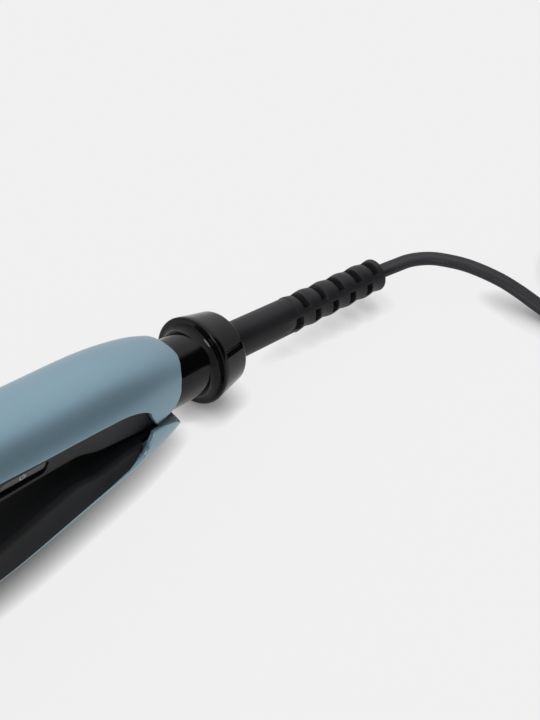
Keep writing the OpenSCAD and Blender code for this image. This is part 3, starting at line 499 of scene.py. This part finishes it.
def curve_through(pts, per=4):
    """Centripetal spline through the points."""
    p = [np.array(q, float) for q in pts]
    p = [2 * p[0] - p[1]] + p + [2 * p[-1] - p[-2]]
    out = []
    for i in range(1, len(p) - 2):
        p0, p1, p2, p3 = p[i - 1:i + 3]
        t = [0.0]
        for a, b in ((p0, p1), (p1, p2), (p2, p3)):
            t.append(t[-1] + max(np.linalg.norm(b - a), 1e-6) ** 0.5)
        for k in range(per):
            x = t[1] + (t[2] - t[1]) * k / per
            a1 = (t[1] - x) / (t[1] - t[0]) * p0 + (x - t[0]) / (t[1] - t[0]) * p1
            a2 = (t[2] - x) / (t[2] - t[1]) * p1 + (x - t[1]) / (t[2] - t[1]) * p2
            a3 = (t[3] - x) / (t[3] - t[2]) * p2 + (x - t[2]) / (t[3] - t[2]) * p3
            b1 = (t[2] - x) / (t[2] - t[0]) * a1 + (x - t[0]) / (t[2] - t[0]) * a2
            b2 = (t[3] - x) / (t[3] - t[1]) * a2 + (x - t[1]) / (t[3] - t[1]) * a3
            out.append((t[2] - x) / (t[2] - t[1]) * b1 + (x - t[1]) / (t[2] - t[1]) * b2)
    out.append(p[-2])
    return np.array(out)


line = curve_through(knots, 4)


def lead_section(k=40):
    """Twin lead: two round cores side by side with a shallow groove between them."""
    pts = []
    r, off = LEAD_T / 2, (LEAD_W - LEAD_T) / 2
    for i in range(k):
        a = 2 * math.pi * (i + 0.5) / k
        c = math.cos(a)
        x = off * math.copysign(1, c) * min(1.0, abs(c) * 3.0) + r * c
        z = r * spow(math.sin(a), 0.92) * (1 - 0.13 * math.exp(-(x / 0.55) ** 2))
        pts.append((x, z))
    return pts


lead = sweep("twin_lead", line, lead_section())
paint(lead, "lead")
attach(lead, "upper_arm")
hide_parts("power_cord", "cord_hank")


# Painted shells
def resample(pts, step):
    out = [pts[0]]
    for a, b in zip(pts, pts[1:]):
        n = max(1, round(math.dist(a, b) / step))
        out += [(a[0] + (b[0] - a[0]) * i / n, a[1] + (b[1] - a[1]) * i / n) for i in range(1, n + 1)]
    return out


def skin_normal(ws, hs, s, theta):
    """Outward normal of the skin, from steps along and round it."""
    ds, dt = 0.4, 0.01
    a = np.subtract(skin_point(ws, hs, s + ds, theta), skin_point(ws, hs, s - ds, theta))
    b = np.subtract(skin_point(ws, hs, s, theta + dt), skin_point(ws, hs, s, theta - dt))
    n = np.cross(a, b)
    n /= np.linalg.norm(n)
    return n if n[1] * math.cos(theta) + n[2] * math.sin(theta) > 0 else -n


ACROSS = 72


def shell(name, ws, hs, edge_line, rear_at, pose):
    """Skin over the arm: every row runs from the hem on one side over the top to the other."""
    edge_line = resample(edge_line, 1.0)
    lengths = [0.0]
    for a, b in zip(edge_line, edge_line[1:]):
        lengths.append(lengths[-1] + math.dist(a, b))
    grid, normals = [], []
    for (sb, nb), run in zip(edge_line, lengths):
        t_top = run / lengths[-1]
        t_hem = (sb - rear_at(nb)) / (NOSE_S - rear_at(nb))
        h = glide(hs, sb)
        rise = ((nb - MID) / (h - MID)) if nb > MID else (MID - nb) / DEPTH
        low = math.copysign(math.asin(min(1.0, rise ** (P / 2))), nb - MID)
        row, row_normals = [], []
        for j in range(ACROSS + 1):
            v = j / ACROSS
            theta = low + (math.pi - 2 * low) * (v - 0.055 * math.sin(2 * math.pi * v))
            n = skin_point(ws, hs, sb, theta)[2]
            t = t_top + (t_hem - t_top) * ((h - n) / (h - nb)) ** 2
            s = rear_at(n) * (1 - t) + NOSE_S * t
            row.append(skin_point(ws, hs, s, theta))
            row_normals.append(skin_normal(ws, hs, s, theta))
        grid.append(row)
        normals.append(row_normals)
    return thick_grid(name, grid, normals, WALL, pose)


def hem(end, rear_points):
    """Hem of a shell from its rear corner to the nose, 0.3 mm in from the drawn edge."""
    line = rear_points + [(s - 0.25, n + 0.15) for s, n in rear_end(end) if n > rear_points[-1][1]]
    return line + [(s, seam(s) + 0.3) for s in stations(54, NOSE_S, 6)]


# The upper shell's rear edge turns into its hem in a quarter ellipse, split at CORNER degrees
CORNER_S, CORNER_N, CORNER_A, CORNER_B, CORNER = 28.0, 6.4, 8.7, 6.4 - HEM_N - 0.3, 50
REAR_TOP, REAR_LOW = (14.6, 14.2), (17.5, 10.4)
LOWER_REAR_S = 14.5


def corner_point(deg):
    a = math.radians(deg)
    return CORNER_S - CORNER_A * math.cos(a), CORNER_N - CORNER_B * math.sin(a)


def upper_rear(n):
    """Station of the upper shell's rear edge at height n."""
    (top_s, top_n), (low_s, low_n) = REAR_TOP, REAR_LOW
    if n > top_n:
        return top_s
    if n > low_n:
        return low_s - (low_s - top_s) * (n - low_n) / (top_n - low_n)
    corner_s = CORNER_S - CORNER_A
    if n > CORNER_N:
        return corner_s - (corner_s - low_s) * (n - CORNER_N) / (low_n - CORNER_N)
    s, low = corner_point(CORNER)
    if n > low:
        return corner_point(math.degrees(math.asin((CORNER_N - n) / CORNER_B)))[0]
    return s + CORNER_A / CORNER_B * math.tan(math.radians(CORNER)) * (low - n)


upper_corner = [corner_point(a) for a in range(CORNER, 91, 5)] + [(31.2, HEM_N + 0.3)]
lower_tail = [(14.6, 16.4), (15.6, 15.7), (23.2, 6.2), (25, 4.8), (27.1, 3.6), (29.5, 2.4), (31.8, 1.5),
              (33.8, 0.9)]
upper_shell = shell("upper_shell_skin", UPPER_W, UPPER_H, hem(UPPER_END, upper_corner), upper_rear, UPPER_POSE)
lower_shell = shell("lower_shell_skin", LOWER_W, LOWER_H, hem(LOWER_END, lower_tail), lambda n: LOWER_REAR_S,
                    LOWER_POSE)
for piece, body, node in (
        (upper_shell, "upper_arm", "upper_shell"),
        (lower_shell, "lower_arm", "lower_shell")):
    paint(piece, "teal")
    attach(piece, body)
    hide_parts(node)


# Black liners
def liner_side(ws, hs, face, s, inset):
    """Points down the liner's side at station s, as (y, n), with a rounded lower edge."""
    w, f, top = seam_w(ws, hs, s) - 0.15 - inset, glide(face, s) + inset, seam(s) + 1 + inset
    lean, r, rise = glide(LEANS, s), 1.5, seam(s) - glide(face, s) - inset
    y, drop = w - lean * 0.72, 0.28 * rise
    side = [(w + lean * (top - seam(s)) / rise, top), (w, seam(s)), (w - lean * 0.36, f + 0.64 * rise),
            (y, f + drop)]
    flat = w - lean - r
    for i in range(1, 9):
        a = math.pi / 2 * i / 8
        side.append((flat + (y - flat) * math.cos(a) ** 0.75, f + drop - drop * math.sin(a) ** 1.15))
    return side


def liner_block(name, ws, hs, face, inset, pose):
    rings = []
    for s in [25 - inset] + stations(27, NOSE_S - 1, 2.0) + [NOSE_S + 1 + inset]:
        side = liner_side(ws, hs, face, s, inset)
        rings.append([(-s, y, n) for y, n in side] + [(-s, -y, n) for y, n in reversed(side)])
    return loft(name, rings, pose)


def liner(name, ws, hs, face, end, window, pose):
    """Hollow liner with openings for the plate's tray and, window wide each way, for the hinge."""
    o = liner_block(name, ws, hs, face, 0, pose)
    line = rear_end(end) + [(s, seam(s)) for s in stations(54, NOSE_S, 4)]
    outline = prism("tool", line + [(NOSE_S, -12), (LINER_END_S, -12)], -30, 30, pose)
    tongue = block((LINER_END_S, TONGUE_END_S), (-TONGUE_HALF_W, TONGUE_HALF_W), (-12, SEAM_N), pose)
    combine(outline, tongue, "UNION")
    combine(o, outline, "INTERSECT")
    cut(o, liner_block("tool", ws, hs, face, WALL, pose))
    along, across = PLATE_LEN / 2 + HOLDER_MARGIN, PLATE_W / 2 + HOLDER_MARGIN
    cut(o, block((PLATE_MID - along, PLATE_MID + along), (-across, across), (-4, 20), pose))
    cut(o, block((27.5, 45), (-window, window), (-8, 8), pose))
    return o


upper_liner = liner("upper_liner_moulding", UPPER_W, UPPER_H, UPPER_FACE, UPPER_END, 11.2, UPPER_POSE)
lower_liner = liner("lower_liner_moulding", LOWER_W, LOWER_H, LOWER_FACE, LOWER_END, 8.2, LOWER_POSE)

# Power button on the liner's side, in a slot that reaches below it
def side_y(n, inset):
    """How far out the liner's side is at height n, for a depth of inset under its face."""
    lean = math.atan(LEAN / (SEAM_N - FACE_N))
    return -SIDE_Y + (inset + (SEAM_N - n) * math.sin(lean)) / math.cos(lean)


slot_n = BUTTON_N - BUTTON_UNDER / 2
slot_outline = [(BUTTON_S + a, slot_n + b) for a, b in
                lozenge(BUTTON_LEN + 2 * BUTTON_GAP, BUTTON_H + 2 * BUTTON_GAP + BUTTON_UNDER, 1.5)]
cut(upper_liner, prism("tool", slot_outline, -20, -10, UPPER_POSE))
lens_outline = [(LENS_S + LENS_R * math.cos(math.radians(a)), BUTTON_N + LENS_R * math.sin(math.radians(a)))
                for a in range(0, 360, 10)]
cut(upper_liner, prism("tool", lens_outline, -20, -10, UPPER_POSE))
for piece, body, node in (
        (upper_liner, "upper_arm", "upper_liner"),
        (lower_liner, "lower_arm", "lower_liner")):
    sharp_by_angle(piece, 28)
    paint(piece, "liner")
    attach(piece, body)
    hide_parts(node)


def leaning_ring(trim, inset):
    """Outline of the button on the leaning side, trimmed all round."""
    outline = lozenge(BUTTON_LEN - 2 * trim, BUTTON_H - 2 * trim, 1.3 - trim)
    return [(-(BUTTON_S + a), side_y(BUTTON_N + b, inset), BUTTON_N + b) for a, b in outline]


cap_rings = [[(x, -BUTTON_IN_Y, n) for x, y, n in leaning_ring(0, 0)]]
cap_rings += [leaning_ring(trim, inset) for trim, inset in
              ((0, 0.85), (0.04, 0.65), (0.14, 0.5), (0.3, 0.45), (0.9, 0.42))]
button = loft("button_cap", cap_rings, UPPER_POSE)
sharp_by_angle(button, 40)
paint(button, "button")
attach(button, "power_button")
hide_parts("power_button")


def icon_strip(name, path, half):
    """A printed stroke on the button's face, along (s, n) points."""
    verts, faces = [], []
    for i, (s, n) in enumerate(path):
        a, b = path[max(i - 1, 0)], path[min(i + 1, len(path) - 1)]
        d = math.dist(a, b)
        ts, tn = (b[0] - a[0]) / d, (b[1] - a[1]) / d
        for k in (-1, 1):
            ps, pn = s - tn * half * k, n + ts * half * k
            verts += [(-ps, side_y(pn, 0.4), pn), (-ps, side_y(pn, 0.46), pn)]
    for i in range(len(path) - 1):
        a, b = 4 * i, 4 * i + 4
        faces += [[a, b, b + 2, a + 2], [a + 1, a + 3, b + 3, b + 1]]
        faces += [[a, a + 1, b + 1, b], [a + 2, b + 2, b + 3, a + 3]]
    faces += [[0, 2, 3, 1], [b, b + 1, b + 3, b + 2]]
    o = make(name, verts, faces, UPPER_POSE)
    outward(o)
    sharp_by_angle(o, 30)
    paint(o, "icon")
    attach(o, "power_button")


ICON_S, ICON_N, ICON_R, STROKE = 82.6, 6.4, 0.95, 0.12
ring_path = [(ICON_S + ICON_R * math.sin(math.radians(a)), ICON_N + ICON_R * math.cos(math.radians(a)))
             for a in range(40, 321, 20)]
icon_strip("power_symbol_ring", ring_path, STROKE)
icon_strip("power_symbol_bar", [(ICON_S, ICON_N + 0.25), (ICON_S, ICON_N + 1.3)], STROKE)


# Noses of the arms
NOSE_RINGS, NOSE_POINTS, NOSE_LAST = 32, 96, 84


def nose(name, ws, hs, pose):
    """Rounded cap ahead of the shells, flat on the closing side."""
    w, h = glide(ws, NOSE_S), glide(hs, NOSE_S)
    rings = []
    for i in range(NOSE_RINGS + 1):
        q = math.sin(math.radians(NOSE_LAST * i / NOSE_RINGS))
        c = (1 - q**2.4) ** (1 / 2.4)
        s = NOSE_S + 0.02 + q * (ARM_LEN - NOSE_S)
        top = (h - MID) * (0.2 + 0.8 * c)
        ring = []
        for k in range(NOSE_POINTS):
            a = 2 * math.pi * (k + 0.5) / NOSE_POINTS
            d = spow(math.sin(a), 2 / P)
            y = w * (0.35 + 0.65 * c) * spow(math.cos(a), 2 / P)
            ring.append((-s, y, MID + (top * d if d > 0 else 4 * d)))
        rings.append(ring)
    o = loft(name, rings, pose)
    cut(o, block((NOSE_S - 5, ARM_LEN + 5), (-40, 40), (-10, FACE_N), pose))
    sharp_by_angle(o, 50)
    b = o.modifiers.new("soft_edges", "BEVEL")
    b.width, b.segments, b.limit_method, b.angle_limit = 0.5 * M, 3, "ANGLE", math.radians(50)
    apply_all(o)
    paint(o, "liner")
    return o


for name, ws, hs, pose, body, node in (
        ("upper_nose_cap", UPPER_W, UPPER_H, UPPER_POSE, "upper_arm", "upper_tip"),
        ("lower_nose_cap", LOWER_W, LOWER_H, LOWER_POSE, "lower_arm", "lower_tip")):
    tip = nose(name, ws, hs, pose)
    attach(tip, body)
    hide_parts(node)


# Neck and collar, one glossy turning
FILLET, SOCKET_R, SOCKET_X, SOCKET_START = 2.8, 7.86, 2.5, -1.6
TAPER_X, TAPER_LEN, TAPER_END_R = 0.6, 10.8, 12.1
MOUTH_X, MOUTH_R, MOUTH_LEN, MOUTH_DROP = 12.24, 9.25, 5.5, 2.6
profile = [(NECK_START, NECK_BORE_R), (NECK_START, NECK_R - 0.3), (NECK_START + 0.3, NECK_R)]
profile += [(NECK_START + 0.3 + 19.4 * i / 8, NECK_R) for i in range(1, 8)]
for i in range(13):
    turn = math.radians(7.5 * i)
    profile.append((-FILLET + FILLET * math.sin(turn), NECK_R + FILLET * (1 - math.cos(turn))))
profile += [(0.03, COLLAR_R - 0.6), (0.12, COLLAR_R - 0.3), (0.3, COLLAR_R - 0.08), (TAPER_X, COLLAR_R)]
profile += [(TAPER_X + TAPER_LEN * i / 6, COLLAR_R - (COLLAR_R - TAPER_END_R) * i / 6) for i in range(1, 7)]
profile += [(11.8, 12.02), (12.1, 11.85), (12.27, 11.6), (COLLAR_LEN, 11.35), (COLLAR_LEN, 9.45),
            (MOUTH_X, MOUTH_R)]
profile += [(MOUTH_X - MOUTH_LEN * i / 4, MOUTH_R - MOUTH_DROP * i / 4) for i in range(1, 4)]
for i in range(11):
    turn = math.radians(57.7 + 32.3 * i / 10)
    profile.append((SOCKET_X + SOCKET_R * math.cos(turn), SOCKET_R * math.sin(turn)))
profile += [(SOCKET_START, SOCKET_R), (SOCKET_START, NECK_BORE_R)]
neck = lathe("neck_and_collar", profile, UPPER_POSE, 192)
paint(neck, "gloss")
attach(neck, "upper_arm")
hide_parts("swivel_neck")


# Strain relief: a rubber sleeve with rows of round-edged slots
SLOTS, PITCH, SLOT_W, FLOOR_R, TOP_END, SIDE_END = 5, 7.8, 2.3, 3.3, 3.7, 7.6
SLOT_ROWS = ((TOP_END, 0, 50), (TOP_END, 180, 50), (SIDE_END, 90, 20), (SIDE_END, 270, 20))
RIBBED_LEN, RIB, RIM_R, BORE_R, SEGMENTS = 39.0, 0.22, 0.9, 3.0, 180


def soft_box(v, half, edge):
    """1 within half of the middle, 0 outside, with a soft edge."""
    return 1 - ease((abs(v) - half + edge) / (2 * edge))


def relief_r(x, angle):
    """Radius of the sleeve at x and at an angle in degrees from its top."""
    full = RELIEF_R + (RELIEF_END_R - RELIEF_R) * (x - RELIEF_START) / (RELIEF_LEN - RELIEF_START)
    if x > RELIEF_LEN - RIBBED_LEN:
        full += RIB * math.cos(2 * math.pi * (RELIEF_LEN - x) / PITCH)
    r = full
    for k in range(SLOTS):
        for end, turn, half in SLOT_ROWS:
            away = (angle - turn + 180) % 360 - 180
            f = soft_box(x - (RELIEF_LEN - end - k * PITCH), SLOT_W / 2, 0.16) * soft_box(away, half, 2.5)
            r = min(r, full + (FLOOR_R - full) * f)
    if x > RELIEF_LEN - RIM_R:
        r -= RIM_R - math.sqrt(max(0.0, RIM_R**2 - (x - RELIEF_LEN + RIM_R) ** 2))
    return r


def strain_relief():
    xs = stations(RELIEF_START, RELIEF_LEN - 40, 3) + stations(RELIEF_LEN - 39.8, RELIEF_LEN - 1.0, 0.17)
    xs += [RELIEF_LEN - RIM_R + RIM_R * math.sin(math.radians(a)) for a in (5, 15, 25, 35, 45, 55, 65, 78, 90)]
    outer = [[(x, relief_r(x, 360 * k / SEGMENTS)) for k in range(SEGMENTS)] for x in xs]
    outer += [[(RELIEF_LEN - into, r)] * SEGMENTS
              for into, r in ((0, 3.6), (0.1, 3.2), (0.3, BORE_R), (2, BORE_R))]
    rings = []
    for ring in outer:
        rings.append([(x, r * math.sin(2 * math.pi * k / SEGMENTS), r * math.cos(2 * math.pi * k / SEGMENTS))
                      for k, (x, r) in enumerate(ring)])
    o = loft("relief_sleeve", rings, RELIEF_POSE)
    sharp_by_angle(o, 55)
    return o


relief = strain_relief()
paint(relief, "rubber")
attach(relief, "swivel")
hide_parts("strain_relief")

# Plug on the hank, from (x, width, thickness) along it
PLUG_AT = (HANK_X + PLUG_REAR, HANK_Y + PLUG_Y, PLUG_Z)
PLUG_FLAT = [(0, 20, 11), (5, 24, 12.4), (13, 21.4, 11.4), (21, 23, 11.8), (29, 32, 13.4), (32, 35.3, 13.7),
             (35, 35.3, 13.7)]


def plug_ring(x, w, t, k=64):
    ring = []
    for i in range(k):
        a = 2 * math.pi * (i + 0.5) / k
        ring.append((PLUG_AT[0] + x, PLUG_AT[1] + w / 2 * spow(math.cos(a), 0.5),
                     PLUG_AT[2] + t / 2 * spow(math.sin(a), 0.6)))
    return ring


def plug_body():
    widths, thicks = [(x, w) for x, w, t in PLUG_FLAT], [(x, t) for x, w, t in PLUG_FLAT]
    rings = [plug_ring(0, 17, 8.6), plug_ring(0.12, 18.6, 9.8), plug_ring(0.5, 19.6, 10.6)]
    rings += [plug_ring(x, glide(widths, x), glide(thicks, x)) for x in stations(1.2, 34.2, 1.1)]
    rings += [plug_ring(34.7, 35.0, 13.4), plug_ring(34.93, 34.5, 12.9), plug_ring(35, 33.6, 12.2)]
    o = loft("plug_moulding", rings, None)
    sharp_by_angle(o, 45)
    return o


plug = plug_body()
paint(plug, "rubber")
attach(plug, "upper_arm")
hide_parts("plug_body")

# CAD pieces that are shown as they are
PAINTED = {
    "steel": ["hinge_pin", "opening_spring", "upper_rear_plate_spring", "upper_front_plate_spring",
              "lower_rear_plate_spring", "lower_front_plate_spring", "upper_plate_clips", "lower_plate_clips",
              "upper_liner_screws", "lower_liner_screws", "upper_bracket_screws", "lower_bracket_screws",
              "board_screws", "thermal_fuse"],
    "plate": ["upper_plate", "lower_plate"],
    "ceramic": ["upper_heater", "lower_heater", "upper_thermistor", "lower_thermistor"],
    "liner": ["upper_plate_holder", "lower_plate_holder", "upper_hinge_bracket", "lower_hinge_bracket",
              "socket_ring", "swivel_ball", "triac", "tact_switch"],
    "brass": ["contact_brushes", "slip_rings"],
    "pins": ["plug_pins"],
    "board": ["control_board"],
    "film": ["dropper_capacitor"],
    "mica": ["upper_insulation", "lower_insulation"],
    "wire_white": ["upper_heater_wires", "lower_heater_wires"],
    "wire_dark": ["mains_wires"],
    "lens": ["status_lens"],
    "rubber": ["cord_tie", "plug_relief"],
}
keys = {node: key for key, nodes in PAINTED.items() for node in nodes}
for node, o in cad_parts.items():
    paint(o, keys.get(node, "liner"))

# Floor: it glows evenly, and ambient occlusion dims its glow where the object stands close, a painted contact
# shadow
FLOOR_HALF, FLOOR_ALBEDO, FLOOR_GLOW = 3000, 0.04, 0.83
# Reach and power of the painted contact shadow on the floor
PAINTED_SHADOW_REACH, PAINTED_SHADOW_POWER = 0.0085, 1.3
floor = make("floor", [(x * FLOOR_HALF, y * FLOOR_HALF, 0) for x, y in ((-1, -1), (1, -1), (1, 1), (-1, 1))],
             [[0, 1, 2, 3]])
m, nt, b = material("paper_floor")
tint = noise(nt, coords(nt), 6)
nt.links.new(two_tones(nt, tint, (FLOOR_ALBEDO * 0.99,) * 3, (FLOOR_ALBEDO,) * 3), b.inputs["Base Color"])
b.inputs["Roughness"].default_value = 0.9
b.inputs["Specular IOR Level"].default_value = 0.0
# Painted shadow: ambient occlusion darkens the floor's glow near the object in place of cast contact shadows
painted_shadow_ao = nt.nodes.new("ShaderNodeAmbientOcclusion")
painted_shadow_ao.samples = 8
painted_shadow_ao.inputs["Distance"].default_value = PAINTED_SHADOW_REACH
painted_shadow_curve = nt.nodes.new("ShaderNodeMath")
painted_shadow_curve.operation = "POWER"
painted_shadow_curve.inputs[1].default_value = PAINTED_SHADOW_POWER
nt.links.new(painted_shadow_ao.outputs["AO"], painted_shadow_curve.inputs[0])
b.inputs["Emission Color"].default_value = (1, 1, 1, 1)
nt.links.new(span(nt, painted_shadow_curve.outputs[0], 0.0, FLOOR_GLOW), b.inputs["Emission Strength"])
floor.data.materials.append(m)

# Soft dome, brightest above and behind the object
DOME_LOW, DOME_HIGH = 0.62, 1.3
world = bpy.data.worlds.new("world")
scene.world = world
world.use_nodes = True
wt = world.node_tree
sky = wt.nodes["Background"]
view_dir = wt.nodes.new("ShaderNodeTexCoord").outputs["Generated"]
LIGHT_FROM = Vector((0.221, 0.366, 0.904))
ROOM_DIR = Vector((0.54, -0.66, 0.47)).normalized()
WINDOW_DIR = Vector((-0.815, -0.054, 0.573)).normalized()


def world_math(op, a, b):
    n = wt.nodes.new("ShaderNodeMath")
    n.operation = op
    wt.links.new(a, n.inputs[0])
    wt.links.new(b, n.inputs[1])
    return n.outputs[0]


def world_ramp(value, lo, hi, a, b):
    n = wt.nodes.new("ShaderNodeMapRange")
    n.interpolation_type = "SMOOTHSTEP"
    for key, v in (("From Min", lo), ("From Max", hi), ("To Min", a), ("To Max", b)):
        n.inputs[key].default_value = v
    wt.links.new(value, n.inputs["Value"])
    return n.outputs["Result"]


def along(direction):
    n = wt.nodes.new("ShaderNodeVectorMath")
    n.operation = "DOT_PRODUCT"
    wt.links.new(view_dir, n.inputs[0])
    n.inputs[1].default_value = direction
    return n.outputs["Value"]


dome = world_ramp(along(LIGHT_FROM), 0.1, 0.97, DOME_LOW, DOME_HIGH)
# The room on the camera's right is dark, and a small window on its left shows in the glossy pieces
room = world_ramp(along(ROOM_DIR), 0.8, 0.93, 1.0, 0.03)
window = world_ramp(along(WINDOW_DIR), 0.985, 0.99, 0.0, 9.0)
wt.links.new(world_math("ADD", world_math("MULTIPLY", dome, room), window), sky.inputs["Strength"])
sky.inputs["Color"].default_value = (0.985, 0.99, 1.0, 1)

scene.view_settings.view_transform = "Standard"
